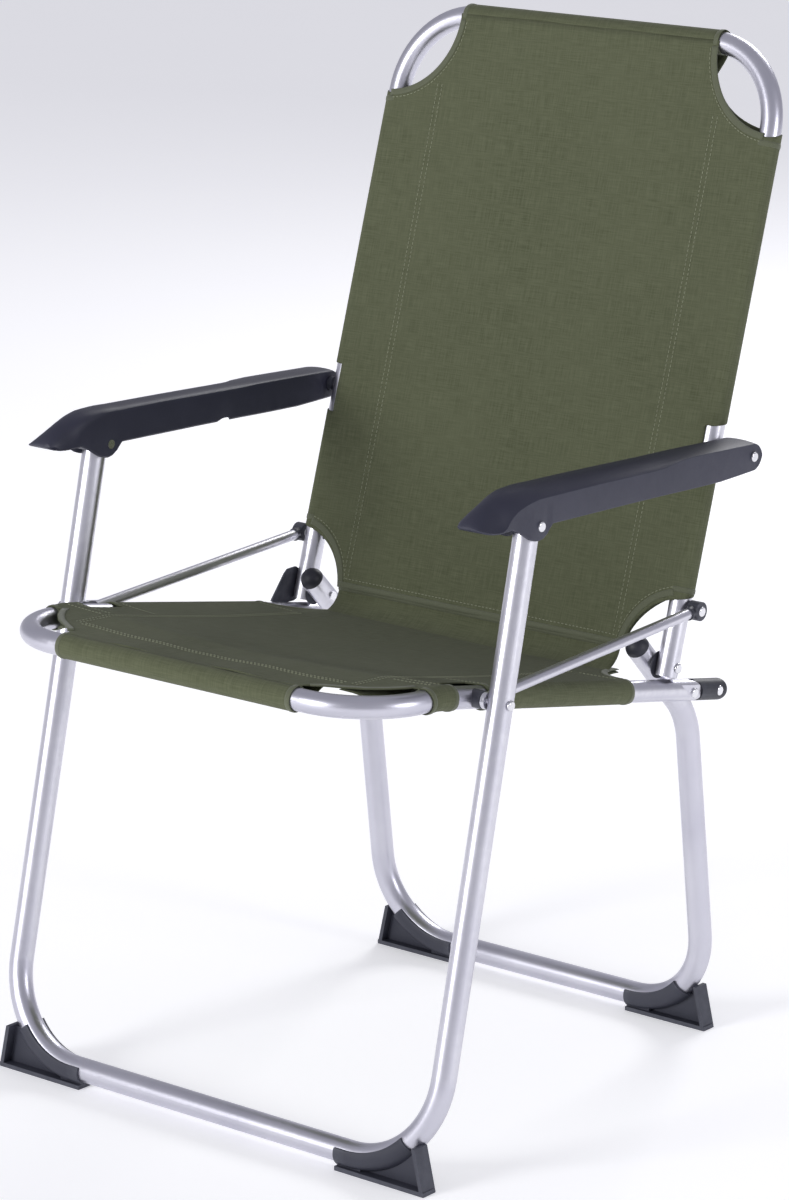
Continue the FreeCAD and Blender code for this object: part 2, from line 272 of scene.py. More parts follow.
class Shading:
    """A material with one Principled shader, and helpers to feed it."""

    def __init__(self, name: str, roughness: float, metallic: float) -> None:
        """Start the material.

        Args:
            name: the material's name.
            roughness: the shader's own roughness.
            metallic: the shader's own metallic value.
        """
        self.material = bpy.data.materials.new(name)
        self.material.use_nodes = True
        self.nodes = self.material.node_tree.nodes
        self.links = self.material.node_tree.links
        self.shader = self.nodes["Principled BSDF"]
        self.shader.inputs["Roughness"].default_value = roughness
        self.shader.inputs["Metallic"].default_value = metallic

    def place(self, group: NodeTree, **values: float) -> bpy.types.Node:
        """Place a shader group.

        Args:
            group: the group.
            values: its input values.

        Returns:
            The group node.
        """
        node = self.nodes.new("ShaderNodeGroup")
        node.node_tree = group
        for key, value in values.items():
            node.inputs[key].default_value = value
        return node

    def mix(self, fac: Socket, a: object, b: object) -> Socket:
        """Mix two colours.

        Args:
            fac: the mask.
            a: a colour or a socket where the mask is 0.
            b: a colour or a socket where the mask is 1.

        Returns:
            The mixed colour.
        """
        node = self.nodes.new("ShaderNodeMix")
        node.data_type = "RGBA"
        self.links.new(fac, node.inputs[0])
        for value, socket in ((a, node.inputs[6]), (b, node.inputs[7])):
            if isinstance(value, Socket):
                self.links.new(value, socket)
            else:
                socket.default_value = (*value, 1.0)
        return node.outputs[2]

    def span(self, value: Socket, low: float, high: float,
             start: float = 0.3, stop: float = 0.7) -> Socket:
        """Map a value's middle range to low..high.

        Args:
            value: the socket to map.
            low: the result at start.
            high: the result at stop.
            start: the lowest input.
            stop: the highest input.

        Returns:
            The mapped value.
        """
        node = self.nodes.new("ShaderNodeMapRange")
        for key, number in (("From Min", start), ("From Max", stop), ("To Min", low),
                            ("To Max", high)):
            node.inputs[key].default_value = number
        self.links.new(value, node.inputs["Value"])
        return node.outputs["Result"]

    def bump(self, height: Socket, strength: float, distance: float) -> None:
        """Feed the shader's normal from a height.

        Args:
            height: the height's socket.
            strength: how strongly it tilts the normal.
            distance: the height of a full step, in metres.
        """
        node = self.nodes.new("ShaderNodeBump")
        node.inputs["Strength"].default_value = strength
        node.inputs["Distance"].default_value = distance
        self.links.new(height, node.inputs["Height"])
        self.links.new(node.outputs["Normal"], self.shader.inputs["Normal"])

    def feed(self, value: Socket, socket: str) -> None:
        """Join a value to one of the shader's sockets."""
        self.links.new(value, self.shader.inputs[socket])


@dataclass(frozen=True)
class WovenCloth:
    """Heathered polyester canvas, with painted shade in the gaps between yarns."""

    name: str = "olive_canvas"
    dark: Colour = (0.088, 0.098, 0.054)
    light: Colour = (0.138, 0.150, 0.088)
    # painted shade: the darker colour laid into the gaps between yarns
    gap: Colour = (0.042, 0.048, 0.027)
    threads: float = 1500.0

    def make(self, groups: Groups) -> Material:
        """Build the material.

        Args:
            groups: the shared shader groups.

        Returns:
            The material.
        """
        s = Shading(self.name, 0.86, 0.0)
        weave = s.place(groups.weave, Threads=self.threads)
        body = s.mix(s.span(weave.outputs["Slub"], 0.0, 1.0, 0.36, 0.64), self.dark, self.light)
        tone = s.span(weave.outputs["Mottle"], 0.0, 0.35)
        body = s.mix(tone, body, self.light)
        # mixes up to 45% painted shade into the yarn gaps
        s.feed(s.mix(s.span(weave.outputs["GapShade"], 0.0, 0.45, 0.3, 1.0), body, self.gap),
               "Base Color")
        s.feed(s.span(weave.outputs["Slub"], 0.92, 0.80), "Roughness")
        s.shader.inputs["Sheen Weight"].default_value = 0.06
        s.shader.inputs["Sheen Roughness"].default_value = 0.5
        s.shader.inputs["Specular IOR Level"].default_value = 0.12
        s.bump(weave.outputs["Height"], 0.45, 0.0003)
        return s.material


@dataclass(frozen=True)
class Thread:
    """Sewing thread and cloth binding."""

    name: str
    base: Colour
    light: Colour
    roughness: float = 0.75

    def make(self, groups: Groups) -> Material:
        """Build the material.

        Args:
            groups: the shared shader groups.

        Returns:
            The material.
        """
        s = Shading(self.name, self.roughness, 0.0)
        grain = s.place(groups.grain, Fineness=1600.0)
        s.feed(s.mix(s.span(grain.outputs["Grain"], 0.0, 1.0), self.base, self.light),
               "Base Color")
        s.shader.inputs["Sheen Weight"].default_value = 0.2
        s.bump(grain.outputs["Grain"], 0.4, 0.0003)
        return s.material


@dataclass(frozen=True)
class Grained:
    """A finish with fine grain, cloudy tone and rubbed edges."""

    name: str
    base: Colour
    shade: Colour
    rough: tuple[float, float]
    worn: Colour
    fineness: float
    metallic: float
    wear: float
    specular: float
    bump: tuple[float, float]

    def make(self, groups: Groups) -> Material:
        """Build the material.

        Args:
            groups: the shared shader groups.

        Returns:
            The material.
        """
        s = Shading(self.name, self.rough[0], self.metallic)
        grain = s.place(groups.grain, Fineness=self.fineness)
        wear = s.place(groups.wear, Amount=self.wear)
        tone = s.mix(s.span(grain.outputs["Cloud"], 0.0, 1.0), self.base, self.shade)
        s.feed(s.mix(wear.outputs["Edge"], tone, self.worn), "Base Color")
        s.feed(s.span(grain.outputs["Grain"], *self.rough), "Roughness")
        s.shader.inputs["Specular IOR Level"].default_value = self.specular
        s.bump(grain.outputs["Grain"], *self.bump)
        return s.material


@dataclass(frozen=True)
class SatinMetal(Grained):
    """Anodised or plated metal."""

    worn: Colour = (0.92, 0.92, 0.93)
    fineness: float = 700.0
    metallic: float = 1.0
    wear: float = 0.6
    specular: float = 0.5
    bump: tuple[float, float] = (0.10, 0.0002)


@dataclass(frozen=True)
class MouldedPlastic(Grained):
    """Charcoal moulded plastic with a spark-eroded texture."""

    worn: Colour = (0.11, 0.115, 0.14)
    fineness: float = 1100.0
    metallic: float = 0.0
    wear: float = 0.8
    specular: float = 0.42
    bump: tuple[float, float] = (0.28, 0.0003)


@dataclass
class Palette:
    """Every finish on the chair, built once."""

    groups: Groups

    def __post_init__(self) -> None:
        """Build the materials."""
        make = self.groups
        self.canvas = WovenCloth().make(make)
        self.thread = Thread("olive_thread", (0.21, 0.225, 0.14), (0.29, 0.305, 0.20)).make(make)
        self.binding = Thread("olive_binding", (0.084, 0.094, 0.052),
                              (0.120, 0.132, 0.076)).make(make)
        self.by_slot = {
            Slot.FRAME: SatinMetal("satin_aluminium", (0.66, 0.655, 0.72), (0.58, 0.575, 0.65),
                                   (0.30, 0.40)).make(make),
            Slot.RIVET: SatinMetal("bright_rivet", (0.86, 0.86, 0.88), (0.76, 0.76, 0.79),
                                   (0.16, 0.26)).make(make),
            Slot.ARMREST: MouldedPlastic("armrest_charcoal", (0.022, 0.023, 0.042),
                                         (0.030, 0.031, 0.054), (0.44, 0.54)).make(make),
            Slot.FOOT: MouldedPlastic("foot_charcoal", (0.030, 0.032, 0.048),
                                      (0.042, 0.044, 0.062), (0.50, 0.60)).make(make),
            Slot.BLACK: MouldedPlastic("black_moulding", (0.018, 0.019, 0.028),
                                       (0.028, 0.029, 0.040), (0.42, 0.55)).make(make),
            Slot.FABRIC: self.canvas,
        }

    def dress_frame(self) -> None:
        """Give every fixed node its finish."""
        for part in frame["record"]["subparts"]:
            node = frame["nodes"][part["node"]]
            material = self.by_slot[Slot(part["material_slot"])]
            node.data.materials.clear()
            node.data.materials.append(material)
            LOG.info("dressed %s", part["node"])


# ------------------------------------------------------------------ mesh tools

def link(mesh: bpy.types.Mesh, name: str, material: Material) -> Object:
    """Make a smooth-shaded object from a mesh.

    Args:
        mesh: the mesh.
        name: the piece's name.
        material: its finish.

    Returns:
        The object, linked to the scene.
    """
    obj = bpy.data.objects.new(name, mesh)
    bpy.context.scene.collection.objects.link(obj)
    mesh.materials.append(material)
    mesh.shade_smooth()
    return obj


def apply_modifiers(obj: Object) -> None:
    """Replace an object's mesh with its evaluated mesh."""
    graph = bpy.context.evaluated_depsgraph_get()
    mesh = bpy.data.meshes.new_from_object(obj.evaluated_get(graph))
    obj.modifiers.clear()
    obj.data = mesh


def cloth_grid(name: str, rows: list[Path], flat: list[list[tuple[float, float]]],
               thickness: float, material: Material) -> Object:
    """A sheet of cloth with thickness, from a grid of points.

    Args:
        name: the piece's name.
        rows: the points, row by row.
        flat: each point's place on the flat cloth, in metres.
        thickness: the cloth's thickness.
        material: the cloth.

    Returns:
        The solid sheet.
    """
    bm = bmesh.new()
    layer = bm.loops.layers.uv.new("cloth")
    verts = [[bm.verts.new(p) for p in row] for row in rows]
    place = {v: flat[i][j] for i, row in enumerate(verts) for j, v in enumerate(row)}
    for i in range(len(rows) - 1):
        for j in range(len(rows[i]) - 1):
            face = bm.faces.new((verts[i][j], verts[i][j + 1], verts[i + 1][j + 1],
                                 verts[i + 1][j]))
            for loop in face.loops:
                loop[layer].uv = place[loop.vert]
    mesh = bpy.data.meshes.new(name)
    bm.to_mesh(mesh)
    bm.free()
    obj = link(mesh, name, material)
    solid = obj.modifiers.new("thickness", "SOLIDIFY")
    solid.thickness = thickness
    solid.offset = 0.0
    apply_modifiers(obj)
    return obj


def closed_mesh(bm: BMesh, name: str) -> bpy.types.Mesh:
    """Turn a closed bmesh's faces outward and make a mesh of it.

    Args:
        bm: the faces; it is freed.
        name: the mesh's name.

    Returns:
        The mesh.
    """
    bmesh.ops.recalc_face_normals(bm, faces=bm.faces)
    mesh = bpy.data.meshes.new(name)
    bm.to_mesh(mesh)
    bm.free()
    return mesh


def skin(bm: BMesh, rings: Sequence[list[bmesh.types.BMVert]],
         looped: bool = False) -> None:
    """Join rings of vertices with faces, and cap the ends unless they form a loop.

    Args:
        bm: the mesh the rings are in.
        rings: rings of equal length, in order.
        looped: whether the last ring joins the first.
    """
    following = [*rings[1:], rings[0]] if looped else rings[1:]
    for a, b in zip(rings, following):
        for i in range(len(a)):
            j = (i + 1) % len(a)
            bm.faces.new((a[i], a[j], b[j], b[i]))
    if not looped:
        bm.faces.new(rings[0][::-1])
        bm.faces.new(rings[-1])


def prism_cutter(outline: Outline, low: float, high: float, along: str) -> Object:
    """A closed prism that a cut is made with.

    Args:
        outline: its corners in the two axes that are left, in X, Y, Z order.
        low: where it starts.
        high: where it ends.
        along: its axis: X, Y or Z.

    Returns:
        The cutter.
    """
    order = {"X": (2, 0, 1), "Y": (0, 2, 1), "Z": (0, 1, 2)}[along]
    bm = bmesh.new()
    ends = []
    for depth in (low, high):
        corners = [(*p, depth) for p in outline]
        ends.append([bm.verts.new([c[k] for k in order]) for c in corners])
    bm.faces.new(ends[0])
    bm.faces.new(ends[1][::-1])
    for i in range(len(outline)):
        j = (i + 1) % len(outline)
        bm.faces.new((ends[0][i], ends[1][i], ends[1][j], ends[0][j]))
    cutter = bpy.data.objects.new("cutter", closed_mesh(bm, "cutter"))
    bpy.context.scene.collection.objects.link(cutter)
    return cutter


def circle(cx: float, cy: float, radius: float, count: int = 72) -> Outline:
    """Points round a circle."""
    return [(cx + radius * math.cos(2 * math.pi * k / count),
             cy + radius * math.sin(2 * math.pi * k / count)) for k in range(count)]


def cut_away(obj: Object, cutters: Sequence[Object]) -> None:
    """Cut shapes out of a solid piece, and remove the cutters.

    Args:
        obj: the piece.
        cutters: the closed shapes to take away.
    """
    for cutter in cutters:
        cut = obj.modifiers.new("cut", "BOOLEAN")
        cut.operation = "DIFFERENCE"
        cut.solver = "EXACT"
        cut.object = cutter
        apply_modifiers(obj)
        bpy.data.objects.remove(cutter)


def lathe_band(name: str, centre: Vector, axis: Vector, radius: float, width: float,
               rise: float, material: Material) -> Object:
    """A rolled cloth hem round a tube.

    Args:
        name: the piece's name.
        centre: the middle of the hem on the tube's axis.
        axis: the tube's direction.
        radius: the hem's inner radius.
        width: its length along the tube.
        rise: its thickness.
        material: its finish.

    Returns:
        The hem.
    """
    axis = axis.normalized()
    side = axis.orthogonal().normalized()
    other = axis.cross(side)
    section = [(-0.5, 0.0), (-0.5, 0.6), (-0.3, 1.0), (0.3, 1.0), (0.5, 0.6), (0.5, 0.0)]
    bm = bmesh.new()
    rings = []
    for angle in spaced(0.0, 2 * math.pi, 40)[:-1]:
        out = side * math.cos(angle) + other * math.sin(angle)
        rings.append([bm.verts.new(centre + axis * (u * width) + out * (radius + v * rise))
                      for u, v in section])
    skin(bm, rings, looped=True)
    return link(closed_mesh(bm, name), name, material)


Surface = Callable[[float, float], tuple[Vector, Vector]]


def ribbon(bm: BMesh, on: Surface, path: Sequence[tuple[float, float]],
           width: float, rise: float) -> None:
    """A raised hem ribbon along a path on the cloth.

    Args:
        bm: the mesh it is added to.
        on: gives a point and normal of the cloth.
        path: its centre line in the cloth's two coordinates.
        width: its width.
        rise: how far it stands out.
    """
    section = [(-0.5, -0.8), (-0.5, 0.5), (-0.32, 1.0), (0.32, 1.0), (0.5, 0.5), (0.5, -0.8)]
    rings = []
    for i, (u, v) in enumerate(path):
        point, normal = on(u, v)
        before = on(*path[max(i - 1, 0)])[0]
        after = on(*path[min(i + 1, len(path) - 1)])[0]
        side = (after - before).normalized().cross(normal)
        rings.append([bm.verts.new(point + side * (a * width) + normal * (b * rise))
                      for a, b in section])
    skin(bm, rings)


def stitches(bm: BMesh, on: Surface, path: Sequence[tuple[float, float]],
             pitch: float = 0.0042, length: float = 0.0029, radius: float = 0.00042) -> None:
    """A row of sewn stitches along a path on the cloth.

    Args:
        bm: the mesh they are added to.
        on: gives a point and normal of the cloth.
        path: the row's line in the cloth's two coordinates.
        pitch: the distance between stitches.
        length: each stitch's length.
        radius: the thread's radius.
    """
    points = [on(u, v) for u, v in path]
    carried = 0.0
    for (p, n), (q, _) in zip(points[:-1], points[1:]):
        run = (q - p).length
        if run < 1e-6:
            continue
        along = (q - p) / run
        side = along.cross(n).normalized()
        at = carried
        while at < run:
            centre = p + along * at + n * radius * 0.5
            rings = []
            for t, swell in ((-0.5, 0.35), (-0.28, 1.0), (0.28, 1.0), (0.5, 0.35)):
                dip = -radius * 0.9 if abs(t) == 0.5 else 0.0
                rings.append([bm.verts.new(
                    centre + along * (t * length) + n * dip
                    + (side * math.cos(a) + n * math.sin(a)) * (radius * swell))
                    for a in (k * math.pi / 3 for k in range(6))])
            skin(bm, rings)
            at += pitch
        carried = at - run


def settle(obj: Object, body: Body, slot: Slot, *nodes: str) -> Object:
    """Put a piece on its body, hide the frame's nodes it stands for, and report it.

    Args:
        obj: the piece.
        body: the body it rides on.
        slot: its material slot; not used.
        nodes: the frame's nodes that it stands for.

    Returns:
        The piece.
    """
    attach(obj, body.value)
    if nodes:
        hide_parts(*nodes)
    LOG.info("made %s on %s, %d faces", obj.name, body.value, len(obj.data.polygons))
    return obj


# ---------------------------------------------------------------------- slings

@dataclass
class Sling:
    """What both slings share: cloth stretched between two tubes, sewn round them.

    half is half the distance between the tubes' axes, gap the air between tube and
    sleeve, cloth its thickness, flap the sleeve's sewn overlap and fold how deep a
    cross sleeve's flap lies behind the panel. hem and collar_size are widths and rises;
    hem_out and row_out are how far hems and stitches lie outside a cut-out's edge.
    """

    palette: Palette
    half: float = 0.214
    gap: float = 0.0004
    cloth: float = 0.0008
    flap: float = 0.055
    tube: float = 0.010
    row_offset: float = 0.0025
    hem: tuple[float, float] = (0.006, 0.0006)
    collar_size: tuple[float, float] = (0.005, 0.0011)
    collar_gap: float = 0.0006
    hem_out: float = 0.0031
    row_out: float = 0.0078
    fold: float = 0.0016

    def axis(self, v: float) -> tuple[Vector, Vector]:
        """The tube axis in the middle plane and the cloth's outward normal, at v."""
        raise NotImplementedError

    def sag(self, x: float, v: float) -> float:
        """How far the cloth hangs in at a point."""
        raise NotImplementedError

    def surface(self, x: float, v: float) -> tuple[Vector, Vector]:
        """A point on the cloth's outer face.

        Args:
            x: across the panel.
            v: along the tubes.

        Returns:
            The point and the face's normal.
        """
        at, normal = self.axis(v)
        lift = self.tube + self.gap + self.cloth - self.sag(x, v)
        return at + Vector((x, 0, 0)) + normal * lift, normal

    def middle(self, x: float, v: float) -> Vector:
        """A point half-way through the cloth."""
        point, normal = self.surface(x, v)
        return point - normal * (self.cloth / 2)

    def ring_radius(self) -> float:
        """The radius of the sleeve, half-way through the cloth."""
        return self.tube + self.gap + self.cloth / 2

    def wrap(self, v: float, side: int) -> Path:
        """The sleeve's section: from the panel's edge, round the tube, to the seam.

        Args:
            v: where along the tube.
            side: -1 or 1.

        Returns:
            Points from the panel's edge round to the seam on the hidden face.
        """
        at, normal = self.axis(v)
        out = Vector((side, 0, 0))
        centre = at + out * self.half
        path = [centre + (normal * math.cos(a) + out * math.sin(a)) * self.ring_radius()
                for a in spaced(0.0, math.pi, 14)[1:]]
        end = self.surface(side * (self.half - self.flap), v)[0]
        end -= normal * (self.cloth * 2.1)
        start = path[-1]
        across = start + (end - start).project(out)
        for t in spaced(0.0, 1.0, 6)[1:]:
            drop = 0.35 * t + 0.65 * ease(t)
            path.append(start + (across - start) * t + (end - across) * drop)
        return path

    def sheet_rows(self, vs: Sequence[float], columns: int) -> tuple[list[Path], Flat]:
        """The whole section at each v: seam, left sleeve, panel, right sleeve, seam.

        Args:
            vs: the rows.
            columns: how many spans cross the panel.

        Returns:
            The rows of points and their places on the flat cloth.
        """
        rows, flat, travelled = [], [], 0.0
        previous = None
        for v in vs:
            xs = spaced(-self.half, self.half, columns)
            row = self.wrap(v, -1)[::-1] + [self.middle(x, v) for x in xs] + self.wrap(v, 1)
            here = self.axis(v)[0]
            travelled += (here - previous).length if previous is not None else 0.0
            previous = here
            u, places = 0.0, []
            for k, point in enumerate(row):
                u += (point - row[k - 1]).length if k else 0.0
                places.append((u, travelled))
            rows.append(row)
            flat.append(places)
        return rows, flat

    def sleeve(self, name: str, rows: list[Path], xs: Sequence[float]) -> Object:
        """Make the sleeve over a cross bar.

        Args:
            name: the piece's name.
            rows: its points, round the bar and along the flap.
            xs: each column's place along the bar.

        Returns:
            The sleeve.
        """
        flat, travelled = [], 0.0
        for i, row in enumerate(rows):
            travelled += (row[0] - rows[i - 1][0]).length if i else 0.0
            flat.append([(x, travelled) for x in xs])
        return cloth_grid(name, rows, flat, self.cloth, self.palette.canvas)

    def arc(self, side: int, corner: tuple[float, float, float], grow: float,
            start: float, stop: float, count: int = 40) -> Outline:
        """Points along a round cut-out's edge, in the cloth's coordinates.

        Args:
            side: -1 or 1.
            corner: the cut-out's centre and radius.
            grow: how far outside the edge they lie.
            start: the first point's angle in degrees.
            stop: the last point's angle.
            count: how many steps they make.

        Returns:
            The points.
        """
        x, y, r = corner
        return [(side * (x + (r + grow) * math.cos(a)), y + (r + grow) * math.sin(a))
                for a in spaced(math.radians(start), math.radians(stop), count)]

    def collar(self, name: str, centre: Vector, along: Vector) -> Object:
        """A rolled hem where a sleeve ends on its tube."""
        return lathe_band(name, centre, along, self.tube + self.collar_gap,
                          *self.collar_size, self.palette.binding)


@dataclass
class BackSling(Sling):
    """The back: a panel in front of the side tubes, a top sleeve and cut corners."""

    low: float = 0.386
    top: float = 0.9137
    corner: tuple[float, float, float] = (0.220, 0.911, 0.072)
    foot_corner: tuple[float, float, float] = (0.224, 0.381, 0.057)
    arm_gap: tuple[float, float] = (0.5446, 0.5886)
    top_half: float = 0.1470
    top_flap: float = 0.046

    def axis(self, v: float) -> tuple[Vector, Vector]:
        """The back tube's axis at height v, and the way the cloth faces."""
        return Vector((0, 0.195 + LEAN * (v - 0.6), v)), Vector((0, -1, LEAN)).normalized()

    def sag(self, x: float, v: float) -> float:
        """A shallow hollow, and faint pull lines towards the sewn corners.

        Args:
            x: across the back.
            v: the height.

        Returns:
            How far the cloth lies in from its flat line.
        """
        across = max(0.0, 1 - (x / self.half) ** 2)
        t = (v - self.low) / (self.top - self.low)
        hollow = 0.0048 * across * math.sin(math.pi * min(max(t, 0.0), 1.0)) ** 0.7
        low_pull = 0.0009 * across * math.exp(-t * 5) * math.sin(x * 62 + 0.6)
        high_pull = 0.0006 * across * math.exp(-(1 - t) * 7) * math.sin(x * 55 + 1.9)
        drift = 0.0005 * across * math.sin(9.0 * t + 14 * x) * math.sin(4 * t + 0.4)
        return hollow + low_pull + high_pull + drift

    def cutters(self) -> list[Object]:
        """The four corner cut-outs and the slots behind the armrests.

        Returns:
            The cutters.
        """
        made = []
        for s in SIDES:
            for x, z, r in (self.corner, self.foot_corner):
                made.append(prism_cutter(circle(s * x, z, r), -0.2, 0.6, "Y"))
            a, b = self.arm_gap
            slot = [(s * 0.2125, a), (s * 0.245, a), (s * 0.245, b), (s * 0.2125, b)]
            made.append(prism_cutter(slot, 0.1, 0.3, "Y"))
        return made

    def panel(self) -> Object:
        """The cloth itself, side sleeves included.

        Returns:
            The cut panel.
        """
        rows, flat = self.sheet_rows(spaced(self.low, self.top, 84), 64)
        obj = cloth_grid("back_cloth", rows, flat, self.cloth, self.palette.canvas)
        cut_away(obj, self.cutters())
        return obj

    def top_sleeve(self) -> Object:
        """The sleeve over the top bar, between the corner cut-outs.

        Returns:
            The sleeve.
        """
        at, normal = self.axis(self.top)
        up = Vector((0, LEAN, 1)).normalized()
        xs = spaced(-self.top_half, self.top_half, 44)
        rows = []
        for a in spaced(0.0, math.pi, 16):
            way = normal * math.cos(a) + up * math.sin(a)
            rows.append([at + Vector((x, 0, 0)) + way * self.ring_radius() for x in xs])
        for t in spaced(0.0, 1.0, 7)[1:]:
            depth = self.ring_radius() * (1 - 2 * ease(t)) + self.fold * ease(t)
            down = self.top_flap * t
            rows.append([at + Vector((x, 0, 0)) - up * down
                         - normal * (depth + self.sag(x, self.top - down)) for x in xs])
        return self.sleeve("back_top_sleeve", rows, xs)

    def edges(self) -> Object:
        """Turned hems round the cut-outs and along the bottom.

        Returns:
            The hems, as one piece.
        """
        bm = bmesh.new()
        for s in SIDES:
            for edge in (self.arc(s, self.corner, self.hem_out, 182, 266),
                         self.arc(s, self.foot_corner, self.hem_out, 101, 174)):
                ribbon(bm, self.surface, edge, *self.hem)
        seam = [(x, self.low + 0.0025) for x in spaced(-0.166, 0.166, 60)]
        ribbon(bm, self.surface, seam, 0.0055, 0.0016)
        return link(closed_mesh(bm, "back_hems"), "back_hems", self.palette.binding)

    def sewing(self) -> Object:
        """Double rows down both sleeves, and one row inside each hem.

        Returns:
            The stitches, as one piece.
        """
        bm = bmesh.new()
        for s in SIDES:
            for inset in (self.flap - self.row_offset, self.flap + self.row_offset):
                column = [(s * (self.half - inset), v)
                          for v in spaced(self.low + 0.012, self.low + 0.464, 60)]
                stitches(bm, self.surface, column)
            stitches(bm, self.surface, self.arc(s, self.corner, self.row_out, 184, 264))
            stitches(bm, self.surface, self.arc(s, self.foot_corner, self.row_out, 103, 172))
        row = [(x, self.low + 0.0085) for x in spaced(-0.158, 0.158, 50)]
        stitches(bm, self.surface, row)
        return link(closed_mesh(bm, "back_stitching"), "back_stitching", self.palette.thread)

    def collars(self) -> list[Object]:
        """Rolled hems where the sleeves end on the tubes.

        Returns:
            The hems.
        """
        made = []
        for s in SIDES:
            for name, z in (("low", 0.4435), ("high", 0.8305)):
                centre = self.axis(z)[0] + Vector((s * self.half, 0, 0))
                made.append(self.collar(f"back_collar_{name}_{hand(s)}", centre,
                                        Vector((0, LEAN, 1))))
            centre = self.axis(self.top)[0] + Vector((s * (self.top_half - 0.0025), 0, 0))
            made.append(self.collar(f"back_collar_top_{hand(s)}", centre, Vector((1, 0, 0))))
        return made

    def build(self) -> None:
        """Make every piece of the back's cloth."""
        cloth = settle(self.panel(), Body.BACK, Slot.FABRIC, "back_sling")
        pieces = [self.top_sleeve(), self.edges(), self.sewing(), *self.collars()]
        for piece in pieces:
            settle(piece, Body.BACK, Slot.FABRIC)


